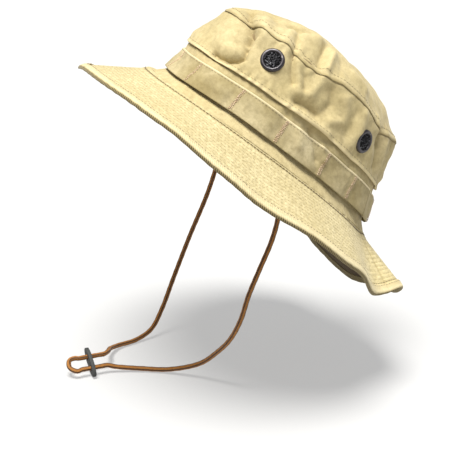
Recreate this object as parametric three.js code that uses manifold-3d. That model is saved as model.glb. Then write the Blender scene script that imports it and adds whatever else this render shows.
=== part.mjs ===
// Boonie hat: a soft sun hat with a sewn brim, a foliage band, four mesh vents and a chin cord.
// Millimetres, +Z straight up. The hat hangs in space as a tilted head wears it: front to -Y, the
// wearer's left to +X. The origin is the centre of the head opening, where the head holds the hat.
// The hat group is modelled level and pitched back once; the chin cord falls straight down from it.

import * as THREE from "three";
import { mergeVertices } from "three/addons/utils/BufferGeometryUtils.js";
import Module from "manifold-3d";

// ---- Driving dimensions (mm, degrees) ----
const HAT_PITCH = 40.5;            // front of the hat raised above level
const OPENING_HALF_LENGTH = 111;   // outside of the crown at the brim seam, front to back
const OPENING_HALF_WIDTH = 80;     // the same, side to side
const OVAL_POWER = 2.2;            // 2 is an ellipse, more is a squarer oval
const FRONT_LEAN = 0.24;           // how far the wall leans in, per mm of height
const BACK_LEAN = 0.30;
const SIDE_LEAN = 0.29;
const SEAM_SADDLE = 6.4;           // sides of the brim seam above its front and back
const TOP_SADDLE = 9.4;            // the same at the top seam
const CROWN_DOME = 24;             // rise of the top panel over the head
const DOME_POWER = 3;              // 2 is a round dome, more is flatter with steeper shoulders
const DOME_STEPS = 6;              // rings of facets from the middle of the top to its edge
const DOME_SPREAD = 0.7;           // less than 1 crowds those rings towards the edge
const BASE_HEIGHT = 35.6;          // brim seam to the lapped seam of the upper wall
const UPPER_WALL_HEIGHT = 38.4;    // lapped seam to the top seam
const CROWN_HEIGHT = BASE_HEIGHT + UPPER_WALL_HEIGHT;
const BASE_LAP = 4;                // base wall hidden behind the upper wall
const BAND_LOW = 8.6;              // lower edge of the foliage band
const BAND_HEIGHT = 20.7;
const BAND_END_ANGLE = -45;        // the band's outer end, behind the wearer's left ear
const BAND_OVERLAP_ANGLE = 7;      // how far the band's ends pass each other there
const BAND_RAMP_ANGLE = 8;         // stretch over which the outer end steps down to the crown
const CLOTH = 1.0;                 // thickness of a folded cloth wall
const SWEATBAND_HEIGHT = 30;
const SWEATBAND_DROP = 3;          // sweatband below the brim seam
const SEAM_TAPE_HEIGHT = 7;
const BRIM_WIDTH = 59;             // brim seam to the outside of the binding, along the slope
const BRIM_CLOTH = 0.5;
const BRIM_STIFFENER = 0.6;
const BINDING_WIDTH = 7;
const BINDING_CLOTH = 0.5;
const VENT_FLANGE_RADIUS = 10;
const VENT_FLANGE_RISE = 2.6;      // dome of the ring over its seat
const VENT_FLANGE_EDGE = 1.0;      // straight rim of the flange before it curves over
const VENT_SHOULDER = 0.4;         // the dome's shoulder below its top, and in from the rim
const VENT_TOP_INSET = 2.1;        // dome's highest circle, in from the rim
const VENT_LIP = 1.0;              // ledge that the screen lies over, inside the barrel
const VENT_SCREEN_DEPTH = 0.8;     // screen above the ring's seat
const VENT_SCREEN_RADIUS = 6.6;
const VENT_SCREEN_THICKNESS = 0.7;
const VENT_BARREL_RADIUS = 7.3;
const VENT_WASHER_RADIUS = 9.5;
const VENT_WASHER_THICKNESS = 0.8;
const VENT_FRONT_ANGLE = 36;       // from straight sideways, towards the front
const VENT_BACK_ANGLE = -23;
const VENT_UNDER_TAPE = 1.5;       // clear wall between a vent's washer and the seam tape
const CORD_DIAMETER = 4;
const TAB_LENGTH = 9;              // cord anchor tab, hanging from the sweatband's lower edge
const TAB_WIDTH = 9;
const TAB_THICKNESS = 5;
const KEEPER_LENGTH = 29;
const KEEPER_WIDTH = 12;
const KEEPER_THICKNESS = 3;
const KEEPER_HOLE_SPACING = 11.2;
const KEEPER_SHOULDER = 9;         // half length of the keeper's full-width middle
const KEEPER_CENTRE = new THREE.Vector3(-12.5, -144.5, -178);
const KEEPER_ALONG = new THREE.Vector3(0.842, 0.067, -0.535).normalize();   // from hole to hole
const KEEPER_SLIDE = new THREE.Vector3(-0.08, 1, 0).normalize();   // along the cord, towards the hat

// ---- Clearances (mm) ----
const GAP = 0.4;                   // between two sewn layers
const HOLE_CLEARANCE = 0.5;        // barrel in the wall, screen in the ring
const PLY_GAP = 0.5;               // between the brim's layers, which twist as they droop
const CORD_CLEARANCE = 0.45;       // cord in a keeper hole, on the radius

// The vents sit just under the seam tape.
const VENT_HEIGHT = CROWN_HEIGHT - SEAM_TAPE_HEIGHT - VENT_WASHER_RADIUS - VENT_UNDER_TAPE;

// Droop of the brim below the opening, in degrees, at even steps round the brim from the wearer's
// left side forwards: left, front, right, back and round to the left again.
const BRIM_DROOP = [
  27, 31, 29, 24, 25, 27, 29, 31, 29, 26, 28, 30,
  28, 26, 26, 29, 33, 36, 32, 25, 20, 27, 25, 24,
];

// The cord's route from the left anchor to the right one: down beside the cheek, along the ground,
// through the keeper, round the loop's end, back through the keeper and up the other side.
const CORD_ROUTE = [
  [76, -6.3, -7.4], [76.1, -8.6, -10.4], [76.3, -10, -19], [76.7, -11, -31.5], [77, -16, -50],
  [77, -26, -73.5], [76, -34.5, -95], [72.5, -39.5, -116], [63.5, -45, -136], [47, -51.5, -155],
  [28, -61.5, -173], [9, -82, -184], [-2, -104, -185],
  [-7.8, -124, -183], [-8.82, -131.2, -181], [-8.58, -134.2, -181], [-7.31, -150.1, -181],
  [-7.07, -153.1, -181], [-6.2, -157, -181.6], [-10.2, -162.6, -179.4], [-16.2, -161.6, -175.7],
  [-17, -156.8, -174.6], [-16.5, -153.9, -175], [-16.74, -150.9, -175], [-18.01, -134.9, -175],
  [-18.25, -131.9, -175], [-25, -126.5, -176.4], [-38, -122, -180.6], [-50, -112, -184.4],
  [-58, -93, -185], [-64, -78, -179.6], [-71.5, -66, -165], [-76.5, -54, -140], [-78, -38, -102],
  [-77.6, -20, -60], [-76.6, -11.5, -32], [-76.3, -10, -19], [-76.1, -8.6, -10.4], [-76, -6.3, -7.4],
];

const RING_STEPS = 68;             // facets round the hat
const LATHE_RADIUS = 100;          // radius a section is turned at before it is bent to the oval
const SMALL_STEPS = 20;            // facets round a vent
const CORD_STEPS = 80;
const CORD_SIDES = 8;
const NORMAL_STEP = 0.01;          // radians to each side of a point whose normal is wanted
const radians = THREE.MathUtils.degToRad;

const wasm = await Module();
wasm.setup();

// ---- Materials ----
const finish = (color, roughness, metalness = 0) => (
  () => new THREE.MeshStandardMaterial({ color, roughness, metalness })
);
const khaki = finish(0xd9c48c, 0.92);
const brimKhaki = finish(0xe6d7a2, 0.92);
const stiffener = finish(0xe9e4d4, 0.95);
const bandCloth = finish(0xc4b27c, 0.92);
const gunmetal = finish(0x4a464c, 0.35, 0.8);
const screenMetal = finish(0x151518, 0.5, 0.6);
const cordBraid = finish(0xa55f1c, 0.8);
const keeperLeather = finish(0x3a3d3c, 0.7);

// ---- Solid helpers ----
function weld(geometry) {
  geometry.deleteAttribute("normal");
  geometry.deleteAttribute("uv");
  const welded = mergeVertices(geometry, 1e-4);
  welded.computeVertexNormals();
  return welded;
}

function toManifold(geometry) {
  return new wasm.Manifold(new wasm.Mesh({
    numProp: 3,
    vertProperties: new Float32Array(geometry.attributes.position.array),
    triVerts: new Uint32Array(geometry.index.array),
  }));
}

function fromManifold(solid) {
  const mesh = solid.getMesh();
  const geometry = new THREE.BufferGeometry();
  geometry.setAttribute("position", new THREE.BufferAttribute(new Float32Array(mesh.vertProperties), 3));
  geometry.setIndex(new THREE.BufferAttribute(new Uint32Array(mesh.triVerts), 1));
  geometry.computeVertexNormals();
  return geometry;
}

function named(name, geometry, material) {
  const mesh = new THREE.Mesh(geometry, material);
  mesh.name = name;
  return mesh;
}

// A closed section of [across, up] points is turned into a ring, and each point is then put in its
// real place by place(angle, across, up).
function bentRing(section, place) {
  const profile = section.map(([across, up]) => new THREE.Vector2(LATHE_RADIUS + across, up));
  profile.push(profile[0].clone());
  return bend(new THREE.LatheGeometry(profile, RING_STEPS), LATHE_RADIUS, place);
}

function bend(geometry, zeroRadius, place) {
  const position = geometry.attributes.position;
  for (let i = 0; i < position.count; i += 1) {
    const radius = Math.hypot(position.getX(i), position.getZ(i));
    const angle = Math.atan2(-position.getX(i), position.getZ(i));
    const point = place(angle, radius - zeroRadius, position.getY(i));
    position.setXYZ(i, point.x, point.y, point.z);
  }
  return weld(geometry);
}

const rectangle = (inner, outer, low, high) => [[inner, low], [outer, low], [outer, high], [inner, high]];

// ---- The crown's oval ----
const signedPower = (value, power) => Math.sign(value) * Math.abs(value) ** power;

// A point on the crown wall. The angle runs from the wearer's left (0) to the front (90 degrees);
// across is the distance outside the wall's outer face.
function wallPoint(angle, across, height) {
  const frontReach = OPENING_HALF_LENGTH - FRONT_LEAN * height;
  const backReach = OPENING_HALF_LENGTH - BACK_LEAN * height;
  const halfLength = (frontReach + backReach) / 2;
  const centreY = (backReach - frontReach) / 2;
  const halfWidth = OPENING_HALF_WIDTH - SIDE_LEAN * height;
  const sideways = signedPower(Math.cos(angle), 2 / OVAL_POWER);
  const forwards = signedPower(Math.sin(angle), 2 / OVAL_POWER);
  const normal = new THREE.Vector2(
    signedPower(sideways, OVAL_POWER - 1) / halfWidth,
    -signedPower(forwards, OVAL_POWER - 1) / halfLength,
  ).normalize();
  const saddle = SEAM_SADDLE + (TOP_SADDLE - SEAM_SADDLE) * (height / CROWN_HEIGHT);
  return new THREE.Vector3(
    halfWidth * sideways + across * normal.x,
    centreY - halfLength * forwards + across * normal.y,
    height + saddle * (Math.cos(angle) ** 2 - 0.5),
  );
}

function wallNormal(angle, height) {
  const along = wallPoint(angle + NORMAL_STEP, 0, height).sub(wallPoint(angle - NORMAL_STEP, 0, height));
  const up = wallPoint(angle, 0, height + 1).sub(wallPoint(angle, 0, height - 1));
  const normal = along.cross(up).normalize();
  const outward = wallPoint(angle, 1, height).sub(wallPoint(angle, 0, height));
  return normal.dot(outward) < 0 ? normal.negate() : normal;
}

// ---- Crown ----
const upperInner = GAP;                       // the upper wall laps outside the base wall
const upperOuter = GAP + CLOTH;

function crownTop() {
  const rim = CROWN_HEIGHT + GAP;
  const profile = [];
  for (let i = 0; i <= DOME_STEPS; i += 1) {
    profile.push(new THREE.Vector2((i / DOME_STEPS) ** DOME_SPREAD, 0));
  }
  for (let i = DOME_STEPS; i >= 0; i -= 1) {
    profile.push(new THREE.Vector2((i / DOME_STEPS) ** DOME_SPREAD, CLOTH));
  }
  return bend(new THREE.LatheGeometry(profile, RING_STEPS), 0, (angle, share, lift) => {
    const edge = wallPoint(angle, upperOuter, CROWN_HEIGHT);
    const centreY = (FRONT_LEAN - BACK_LEAN) * CROWN_HEIGHT / 2;
    const saddle = TOP_SADDLE * (Math.cos(angle) ** 2 - 0.5) * share * share;
    const dome = CROWN_DOME * (1 - share ** DOME_POWER);
    const across = centreY + (edge.y - centreY) * share;
    return new THREE.Vector3(edge.x * share, across, rim + saddle + dome + lift);
  });
}

function ventFrame(angle) {
  const centre = wallPoint(angle, upperInner + CLOTH / 2, VENT_HEIGHT);
  const outward = wallNormal(angle, VENT_HEIGHT);
  const turn = new THREE.Quaternion().setFromUnitVectors(new THREE.Vector3(0, 0, 1), outward);
  return { centre, turn };
}

function crownSide(ventFrames) {
  let wall = toManifold(bentRing(rectangle(upperInner, upperOuter, BASE_HEIGHT, CROWN_HEIGHT), wallPoint));
  for (const { centre, turn } of ventFrames) {
    const hole = VENT_BARREL_RADIUS + HOLE_CLEARANCE;
    const drill = new THREE.CylinderGeometry(hole, hole, VENT_BARREL_RADIUS, SMALL_STEPS);
    drill.rotateX(Math.PI / 2);
    drill.applyQuaternion(turn);
    drill.translate(centre.x, centre.y, centre.z);
    wall = wall.subtract(toManifold(weld(drill)));
  }
  return fromManifold(wall);
}

const crownBase = () => bentRing(rectangle(-CLOTH, 0, 0, BASE_HEIGHT + BASE_LAP), wallPoint);

const sweatband = () => bentRing(
  rectangle(-3 * CLOTH, -2 * CLOTH, -SWEATBAND_DROP, SWEATBAND_HEIGHT - SWEATBAND_DROP), wallPoint,
);

const seamTape = () => bentRing(
  rectangle(-CLOTH, 0, CROWN_HEIGHT - SEAM_TAPE_HEIGHT, CROWN_HEIGHT - 2 * GAP), wallPoint,
);

// The foliage band is a strip longer than the crown's girth. Its outer end lies over its inner end.
function foliageBand() {
  const sweep = 360 + BAND_OVERLAP_ANGLE;
  const strip = new THREE.BoxGeometry(1, CLOTH, BAND_HEIGHT, RING_STEPS + 4, 1, 1);
  const position = strip.attributes.position;
  for (let i = 0; i < position.count; i += 1) {
    const share = position.getX(i) + 0.5;
    const fromEnd = share * sweep;
    const drop = THREE.MathUtils.clamp((fromEnd - BAND_OVERLAP_ANGLE) / BAND_RAMP_ANGLE, 0, 1);
    const lap = (1 - drop) * (CLOTH + GAP);
    const across = GAP + CLOTH / 2 + position.getY(i) + lap;
    const height = BAND_LOW + BAND_HEIGHT / 2 + position.getZ(i);
    const point = wallPoint(radians(BAND_END_ANGLE + fromEnd), across, height);
    position.setXYZ(i, point.x, point.y, point.z);
  }
  return weld(strip);
}

// ---- Brim ----
const plyEnd = BRIM_WIDTH - BINDING_CLOTH - GAP;
const plies = [BRIM_CLOTH, BRIM_STIFFENER, BRIM_CLOTH];
const clothTop = -PLY_GAP;
const stiffenerTop = clothTop - BRIM_CLOTH - PLY_GAP;
const underTop = stiffenerTop - BRIM_STIFFENER - PLY_GAP;
const plyTop = [clothTop, stiffenerTop, underTop];
const stackBottom = underTop - BRIM_CLOTH;

// The droop at any angle: a smooth curve through the even steps.
function droopAt(angle) {
  const count = BRIM_DROOP.length;
  const place = ((angle / (2 * Math.PI)) * count + 2 * count) % count;
  const step = Math.floor(place);
  const t = place - step;
  const [a, b, c, d] = [-1, 0, 1, 2].map((k) => BRIM_DROOP[(step + k + count) % count]);
  const cubic = (3 * b - a - 3 * c + d) * t ** 3 + (2 * a - 5 * b + 4 * c - d) * t ** 2 + (c - a) * t;
  return radians(b + cubic / 2);
}

// A point of the brim: out is measured along the slope from the brim seam, up is square to level.
function brimPoint(angle, out, up) {
  const droop = droopAt(angle);
  const reach = out < 0 ? out : out * Math.cos(droop);
  const fall = out < 0 ? 0 : out * Math.sin(droop);
  const point = wallPoint(angle, reach, 0);
  point.z += up / Math.cos(droop) - fall;
  return point;
}

function brimPly(layer) {
  const start = -CLOTH;
  const top = plyTop[layer];
  const bottom = top - plies[layer];
  const stops = [start, 0, plyEnd / 3, (2 * plyEnd) / 3, plyEnd];
  const lower = stops.map((out) => [out, bottom]);
  const upper = stops.map((out) => [out, top]).reverse();
  return bentRing([...lower, ...upper], brimPoint);
}

// The binding is a folded tape round the brim's edge: a U with one leaf above and one below.
function brimBinding() {
  const inner = BRIM_WIDTH - BINDING_WIDTH;
  const above = 0;
  const below = stackBottom - PLY_GAP;
  return bentRing([
    [inner, below - BINDING_CLOTH], [BRIM_WIDTH, below - BINDING_CLOTH],
    [BRIM_WIDTH, above + BINDING_CLOTH], [inner, above + BINDING_CLOTH],
    [inner, above], [BRIM_WIDTH - BINDING_CLOTH, above],
    [BRIM_WIDTH - BINDING_CLOTH, below], [inner, below],
  ], brimPoint);
}

// ---- Vents: a domed ring with a barrel through the wall, a mesh screen and an inside washer ----
const ventSeat = CLOTH / 2 + GAP;              // above the wall's middle
const wallBow = 1.0;                           // how far the wall curves away under a vent
const washerTop = -(CLOTH / 2 + GAP + wallBow);
const screenSeat = ventSeat + VENT_SCREEN_DEPTH;
const barrelEnd = washerTop - 2 * VENT_WASHER_THICKNESS;

function turned(points) {
  const profile = points.map(([radius, height]) => new THREE.Vector2(radius, height));
  if (points[0][0] > 0) {
    profile.push(profile[0].clone());
  }
  const geometry = new THREE.LatheGeometry(profile, SMALL_STEPS);
  geometry.rotateX(Math.PI / 2);
  return weld(geometry);
}

const ventRing = () => turned([
  [VENT_SCREEN_RADIUS - VENT_LIP, barrelEnd],
  [VENT_BARREL_RADIUS, barrelEnd],
  [VENT_BARREL_RADIUS, ventSeat],
  [VENT_FLANGE_RADIUS, ventSeat],
  [VENT_FLANGE_RADIUS - VENT_SHOULDER / 2, ventSeat + VENT_FLANGE_EDGE],
  [VENT_FLANGE_RADIUS - VENT_FLANGE_EDGE, ventSeat + VENT_FLANGE_RISE - VENT_SHOULDER],
  [VENT_FLANGE_RADIUS - VENT_TOP_INSET, ventSeat + VENT_FLANGE_RISE],
  [VENT_SCREEN_RADIUS + HOLE_CLEARANCE, ventSeat + VENT_FLANGE_RISE - 2 * VENT_SHOULDER],
  [VENT_SCREEN_RADIUS + HOLE_CLEARANCE, screenSeat - GAP],
  [VENT_SCREEN_RADIUS - VENT_LIP, screenSeat - GAP],
]);

const ventScreen = () => turned([
  [0, screenSeat],
  [VENT_SCREEN_RADIUS, screenSeat],
  [VENT_SCREEN_RADIUS, screenSeat + VENT_SCREEN_THICKNESS],
  [0, screenSeat + VENT_SCREEN_THICKNESS],
]);

const ventWasher = () => turned([
  [VENT_BARREL_RADIUS + HOLE_CLEARANCE, washerTop - VENT_WASHER_THICKNESS],
  [VENT_WASHER_RADIUS, washerTop - VENT_WASHER_THICKNESS],
  [VENT_WASHER_RADIUS, washerTop],
  [VENT_BARREL_RADIUS + HOLE_CLEARANCE, washerTop],
]);

// ---- Chin cord ----
// A folded tape tab under the sweatband's lower edge holds each end of the cord.
function cordTab(angle) {
  const tab = new THREE.BoxGeometry(TAB_THICKNESS, TAB_WIDTH, TAB_LENGTH);
  const across = -(2 * CLOTH + GAP + TAB_THICKNESS / 2);
  const seat = wallPoint(angle, across, -SWEATBAND_DROP);
  tab.translate(seat.x, seat.y, seat.z - GAP - TAB_LENGTH / 2);
  return tab;
}

function chinCord() {
  const route = new THREE.CatmullRomCurve3(CORD_ROUTE.map((p) => new THREE.Vector3(...p)));
  const section = new THREE.Shape();
  for (let i = 0; i < CORD_SIDES; i += 1) {
    const angle = (i / CORD_SIDES) * 2 * Math.PI;
    const x = (CORD_DIAMETER / 2) * Math.cos(angle);
    const y = (CORD_DIAMETER / 2) * Math.sin(angle);
    if (i === 0) {
      section.moveTo(x, y);
    } else {
      section.lineTo(x, y);
    }
  }
  section.closePath();
  const sweep = { steps: CORD_STEPS, extrudePath: route, bevelEnabled: false };
  return weld(new THREE.ExtrudeGeometry(section, sweep));
}

// The keeper is a long hexagonal plate with two round holes, one for each side of the cord.
function cordKeeper() {
  const half = KEEPER_LENGTH / 2;
  const side = KEEPER_WIDTH / 2;
  const outline = new THREE.Shape();
  outline.moveTo(-half, 0);
  outline.lineTo(-KEEPER_SHOULDER, -side);
  outline.lineTo(KEEPER_SHOULDER, -side);
  outline.lineTo(half, 0);
  outline.lineTo(KEEPER_SHOULDER, side);
  outline.lineTo(-KEEPER_SHOULDER, side);
  outline.closePath();
  for (const end of [-1, 1]) {
    const hole = new THREE.Path();
    const radius = CORD_DIAMETER / 2 + CORD_CLEARANCE;
    hole.absarc((end * KEEPER_HOLE_SPACING) / 2, 0, radius, 0, 2 * Math.PI, true);
    outline.holes.push(hole);
  }
  const plate = new THREE.ExtrudeGeometry(outline, {
    depth: KEEPER_THICKNESS, bevelEnabled: false, curveSegments: SMALL_STEPS,
  });
  plate.translate(0, 0, -KEEPER_THICKNESS / 2);
  return weld(plate);
}

// ---- Assembly ----
const part = new THREE.Group();
const hat = new THREE.Group();
hat.rotation.x = -radians(HAT_PITCH);
part.add(hat);

const ventSpots = [
  ["left_front", radians(VENT_FRONT_ANGLE)],
  ["left_back", radians(VENT_BACK_ANGLE)],
  ["right_front", Math.PI - radians(VENT_FRONT_ANGLE)],
  ["right_back", Math.PI - radians(VENT_BACK_ANGLE)],
].map(([place, angle]) => ({ place, ...ventFrame(angle) }));

hat.add(named("crown_top", crownTop(), khaki()));
hat.add(named("crown_side", crownSide(ventSpots), khaki()));
hat.add(named("crown_base_wall", crownBase(), khaki()));
hat.add(named("foliage_band", foliageBand(), bandCloth()));
hat.add(named("sweatband", sweatband(), bandCloth()));
hat.add(named("crown_seam_tape", seamTape(), bandCloth()));
hat.add(named("brim_top_cloth", brimPly(0), brimKhaki()));
hat.add(named("brim_interlining", brimPly(1), stiffener()));
hat.add(named("brim_under_cloth", brimPly(2), khaki()));
hat.add(named("brim_binding", brimBinding(), brimKhaki()));

for (const { place, centre, turn } of ventSpots) {
  const vent = new THREE.Group();
  vent.position.copy(centre);
  vent.quaternion.copy(turn);
  vent.add(named(`vent_ring_${place}`, ventRing(), gunmetal()));
  vent.add(named(`vent_screen_${place}`, ventScreen(), screenMetal()));
  vent.add(named(`vent_washer_${place}`, ventWasher(), gunmetal()));
  hat.add(vent);
}

hat.add(named("cord_anchor_left", cordTab(0), bandCloth()));
hat.add(named("cord_anchor_right", cordTab(Math.PI), bandCloth()));
part.add(named("chin_cord", chinCord(), cordBraid()));

const keeper = named("cord_keeper", cordKeeper(), keeperLeather());
const keeperNormal = KEEPER_SLIDE.clone();
const keeperAcross = new THREE.Vector3().crossVectors(keeperNormal, KEEPER_ALONG).normalize();
const keeperAlong = new THREE.Vector3().crossVectors(keeperAcross, keeperNormal);
const keeperTurn = new THREE.Matrix4().makeBasis(keeperAlong, keeperAcross, keeperNormal);
keeper.quaternion.setFromRotationMatrix(keeperTurn);
keeper.position.copy(KEEPER_CENTRE);
part.add(keeper);

export default part;
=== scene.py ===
"""A khaki boonie hat with its chin cord, pitched back as a tilted head wears it. Metres, +Z up."""

import math

import bpy
import numpy as np
from mathutils import Matrix, Vector


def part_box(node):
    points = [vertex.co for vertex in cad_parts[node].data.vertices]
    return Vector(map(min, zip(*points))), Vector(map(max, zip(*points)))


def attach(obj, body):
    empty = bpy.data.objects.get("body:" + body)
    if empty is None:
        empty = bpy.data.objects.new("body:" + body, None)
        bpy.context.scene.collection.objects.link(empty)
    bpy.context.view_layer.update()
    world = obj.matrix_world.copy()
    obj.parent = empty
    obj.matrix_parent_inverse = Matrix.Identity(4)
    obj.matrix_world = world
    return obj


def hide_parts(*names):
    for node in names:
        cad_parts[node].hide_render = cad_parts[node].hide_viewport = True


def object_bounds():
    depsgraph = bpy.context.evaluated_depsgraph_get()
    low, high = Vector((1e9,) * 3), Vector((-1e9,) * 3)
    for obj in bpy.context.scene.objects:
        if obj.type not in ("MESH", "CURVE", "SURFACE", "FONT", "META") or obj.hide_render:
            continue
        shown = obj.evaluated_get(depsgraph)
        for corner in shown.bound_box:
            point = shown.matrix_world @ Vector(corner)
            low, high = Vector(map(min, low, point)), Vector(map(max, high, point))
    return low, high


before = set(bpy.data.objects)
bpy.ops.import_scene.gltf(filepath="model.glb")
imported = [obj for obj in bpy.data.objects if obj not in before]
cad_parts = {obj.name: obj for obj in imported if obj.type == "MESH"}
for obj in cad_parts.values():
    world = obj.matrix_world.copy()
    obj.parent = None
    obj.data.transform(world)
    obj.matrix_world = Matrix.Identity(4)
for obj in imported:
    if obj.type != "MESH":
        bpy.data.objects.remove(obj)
cad_low, cad_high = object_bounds()

MM = 0.001

# ---- The CAD model's main sizes, in metres and degrees ----
PITCH = math.radians(40.5)
HALF_LENGTH = 0.111
HALF_WIDTH = 0.080
OVAL_POWER = 2.2
FRONT_LEAN, BACK_LEAN, SIDE_LEAN = 0.24, 0.30, 0.29
SEAM_SADDLE, TOP_SADDLE = 0.0064, 0.0094
CROWN_HEIGHT = 0.074
CROWN_DOME = 0.024
BASE_HEIGHT = 0.0356
BAND_LOW, BAND_HEIGHT = 0.0086, 0.0207
BAND_END = -43.5
BAND_OVERLAP, BAND_RAMP = 7, 8
BRIM_WIDTH = 0.059
HEM_LINE = 0.0505
BRIM_SEAM_LINE = 0.0055
QUILT_START, QUILT_PITCH = 0.0065, 0.0037
VENT_PLACES = {"left_front": (37, 0.0585), "left_back": (-22, 0.053),
               "right_front": (143, 0.058), "right_back": (202, 0.054)}
VENT_HOLE_RADIUS = 0.0083
CORD_DIAMETER = 0.004
RADIAL_SEAM = -51

# The front is drawn in to match the photograph: angle and spread in degrees, then how much.
TUCK_ANGLE, TUCK_SPREAD, TUCK_DEPTH = 104, 30, 0.006
TRIM_ANGLE, TRIM_SPREAD, TRIM_SHARE = 100, 22, 0.07

# Droop of the brim, as (angle from the wearer's left forwards, degrees below the opening).
DROOP = [
    (0, 28), (15, 31), (30, 28), (45, 24), (60, 25), (75, 27), (90, 29), (105, 33), (120, 34), (135, 30),
    (150, 28), (165, 30), (180, 28), (195, 26), (210, 26), (225, 29), (240, 35), (253, 39), (265, 36),
    (275, 27), (286, 19), (296, 14), (304, 15), (308, 22), (312, 31), (317, 31), (330, 26), (345, 25),
]

# Rows of zigzag stitches that tie the foliage band down, by angle.
TACK_ROWS = [67, 38, 14, -7, -26, -68, -95, 92, 116, 142, 166, 187, 206, 233]

# Middle line of the chin cord, in mm, from the left tab round the loop to the right tab.
CORD_ROUTE = [
    (76, -6.3, -7.4), (76.1, -8.6, -10.4), (76.3, -10, -19), (76.7, -11, -31.5), (77, -16, -50),
    (77, -26, -73.5), (76, -34.5, -95), (72.5, -39.5, -116), (63.5, -45, -136), (47, -51.5, -155),
    (28, -61.5, -173), (9, -82, -184), (-2, -104, -185),
    (-7.8, -124, -183), (-8.82, -131.2, -181), (-8.58, -134.2, -181), (-7.31, -150.1, -181),
    (-7.07, -153.1, -181), (-6.2, -157, -181.6), (-10.2, -162.6, -179.4), (-16.2, -161.6, -175.7),
    (-17, -156.8, -174.6), (-16.5, -153.9, -175), (-16.74, -150.9, -175), (-18.01, -134.9, -175),
    (-18.25, -131.9, -175), (-25, -126.5, -176.4), (-38, -122, -180.6), (-50, -112, -184.4),
    (-58, -93, -185), (-64, -78, -179.6), (-71.5, -66, -165), (-76.5, -54, -140), (-78, -38, -102),
    (-77.6, -20, -60), (-76.6, -11.5, -32), (-76.3, -10, -19), (-76.1, -8.6, -10.4), (-76, -6.3, -7.4),
]


def add_object(name, data):
    made = bpy.data.objects.new(name, data)
    bpy.context.scene.collection.objects.link(made)
    return made


# ---- Camera ----
def make_camera():
    data = bpy.data.cameras.new("camera")
    data.sensor_width = 36
    data.lens = 104.18
    data.clip_start, data.clip_end = 0.05, 50
    camera = add_object("camera", data)
    camera.location = (0.9656, -0.3393, 0.3165)
    camera.rotation_euler = (math.radians(90 - 20.58), 0, math.radians(72.165))
    bpy.context.scene.camera = camera


# ---- The hat's shape, as functions of an angle in degrees and a height or reach ----
def signed_power(value, power):
    return np.sign(value) * np.abs(value) ** power


def wall_point(angle, across, height):
    """A point of the crown wall, in the level hat. Angle 0 is the wearer's left, 90 the front."""
    turn = np.radians(angle)
    front = HALF_LENGTH - FRONT_LEAN * height
    back = HALF_LENGTH - BACK_LEAN * height
    half_length, centre_y = (front + back) / 2, (back - front) / 2
    half_width = HALF_WIDTH - SIDE_LEAN * height
    sideways = signed_power(np.cos(turn), 2 / OVAL_POWER)
    forwards = signed_power(np.sin(turn), 2 / OVAL_POWER)
    nx = signed_power(sideways, OVAL_POWER - 1) / half_width
    ny = -signed_power(forwards, OVAL_POWER - 1) / half_length
    size = np.hypot(nx, ny)
    saddle = SEAM_SADDLE + (TOP_SADDLE - SEAM_SADDLE) * height / CROWN_HEIGHT
    return np.stack(np.broadcast_arrays(
        half_width * sideways + across * nx / size,
        centre_y - half_length * forwards + across * ny / size,
        height + saddle * (np.cos(turn) ** 2 - 0.5),
    ), -1)


def top_point(angle, share, lift):
    """A point of the crown's top panel: share is 0 at its middle and 1 at the top seam."""
    edge = wall_point(angle, 1.4 * MM, CROWN_HEIGHT + 0 * share)
    centre_y = (FRONT_LEAN - BACK_LEAN) * CROWN_HEIGHT / 2
    saddle = TOP_SADDLE * (np.cos(np.radians(angle)) ** 2 - 0.5) * share ** 2
    dome = CROWN_DOME * (1 - share ** 3)
    return np.stack(np.broadcast_arrays(
        edge[..., 0] * share,
        centre_y + (edge[..., 1] - centre_y) * share,
        CROWN_HEIGHT + 0.4 * MM + saddle + dome + lift,
    ), -1)


def smoothed_droop(spread):
    """The droop at every whole degree, rounded off over about that many degrees."""
    stops, values = zip(*DROOP)
    raw = np.interp(np.arange(360), stops + (360,), values + (values[0],))
    offsets = np.arange(-12, 13)
    weights = np.exp(-(offsets / spread) ** 2)
    turned = [np.roll(raw, offset) * weight for offset, weight in zip(offsets, weights)]
    return np.sum(turned, 0) / weights.sum()


DROOP_BY_DEGREE = smoothed_droop(3.0)


def droop_at(angle):
    return np.radians(np.interp(np.asarray(angle, float) % 360, np.arange(361),
                                np.append(DROOP_BY_DEGREE, DROOP_BY_DEGREE[0])))


def tilt(points):
    """From the level hat to the worn hat."""
    c, s = math.cos(PITCH), math.sin(PITCH)
    x, y, z = points[..., 0], points[..., 1], points[..., 2]
    return np.stack([x, y * c + z * s, -y * s + z * c], -1)


def waves(angle, seed, low, high):
    """A smooth irregular wave round the hat, about -1 to 1, with low to high waves a turn."""
    chance = np.random.default_rng(seed)
    total = 0
    for _ in range(7):
        count = chance.integers(low, high + 1)
        total = total + np.sin(np.radians(angle) * count + chance.uniform(0, 2 * math.pi))
    return total / 3.2


def bumps(points, seed, length):
    """Smooth irregular bumps in space, about -1 to 1, with features of about that length."""
    chance = np.random.default_rng(seed)
    total = 0
    for _ in range(9):
        direction = chance.normal(size=3)
        direction *= 2 * math.pi / length / np.linalg.norm(direction) * chance.uniform(0.6, 1.5)
        total = total + np.sin(points @ direction + chance.uniform(0, 2 * math.pi))
    return total / 3.6


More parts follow.
